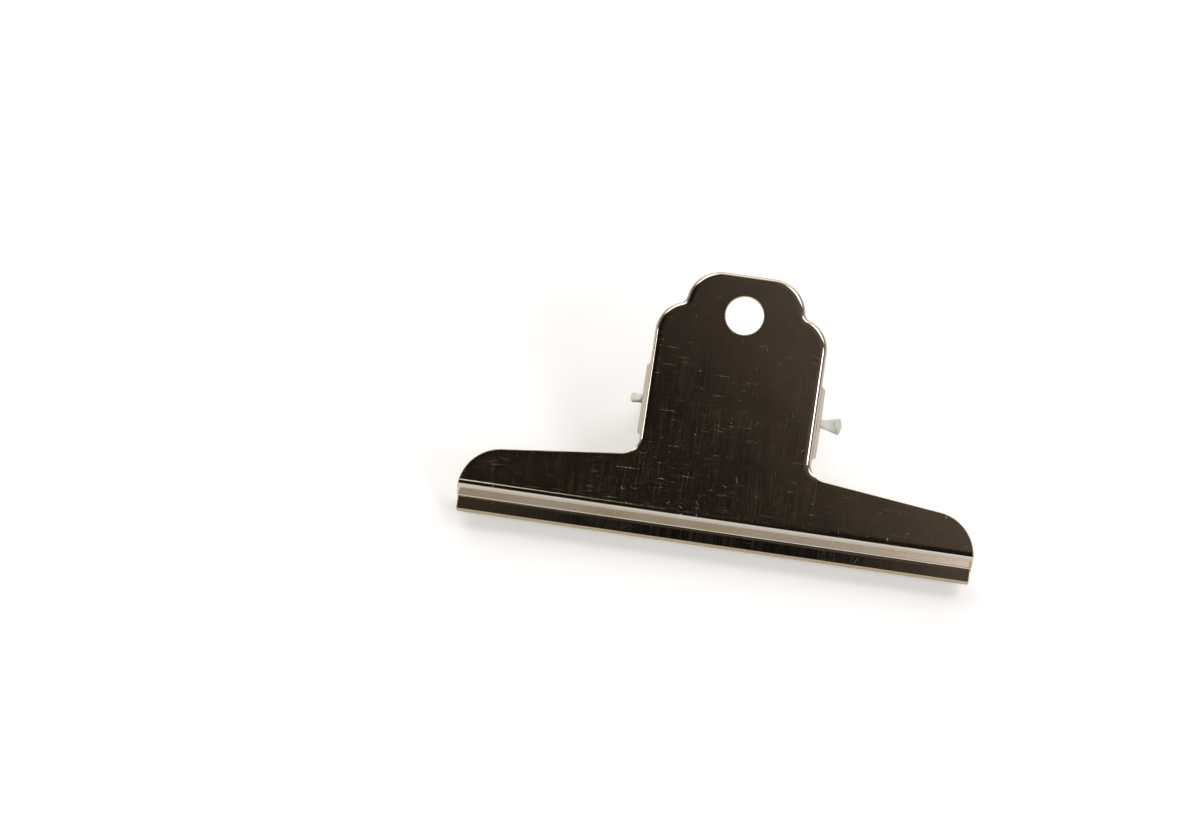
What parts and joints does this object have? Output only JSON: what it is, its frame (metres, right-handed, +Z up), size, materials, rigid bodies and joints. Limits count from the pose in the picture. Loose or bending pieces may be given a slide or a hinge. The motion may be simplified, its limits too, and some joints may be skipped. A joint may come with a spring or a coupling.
{
  "type": "board clip",
  "caption": "Wide sprung letter clip of bright nickel-plated sheet steel: two T-shaped plates with scalloped tongues turn on a pivot pin and grip paper between stepped lips.",
  "frame": {"origin": "on the flat back face of the rear plate, straight below the middle of the pivot pin", "axes": "+X along the jaw, +Y from the lips towards the tongues, +Z up, out of the flat back face the clip lies on; the front plate faces up and its lips lie at -Y"},
  "size_m": [0.125, 0.0662, 0.043],
  "materials": {
    "plate_nickel": "bright nickel plate, finely scratched",
    "wire_nickel": "dull nickel plate"
  },
  "bodies": {
    "rear": {"rear_plate": "plate_nickel", "pivot_pin": "wire_nickel", "torsion_spring": "wire_nickel"},
    "front": {"front_plate": "plate_nickel"}
  },
  "joints": [
    {"name": "jaw_hinge", "type": "hinge", "parent": "rear", "child": "front", "pos_m": [0, 0, 0.01401], "axis": [-1, 0, 0], "range_deg": [0, 60], "stiffness_Nm_per_rad": 0.35, "springref_deg": -85.94, "deforming": ["torsion_spring"]}
  ]
}
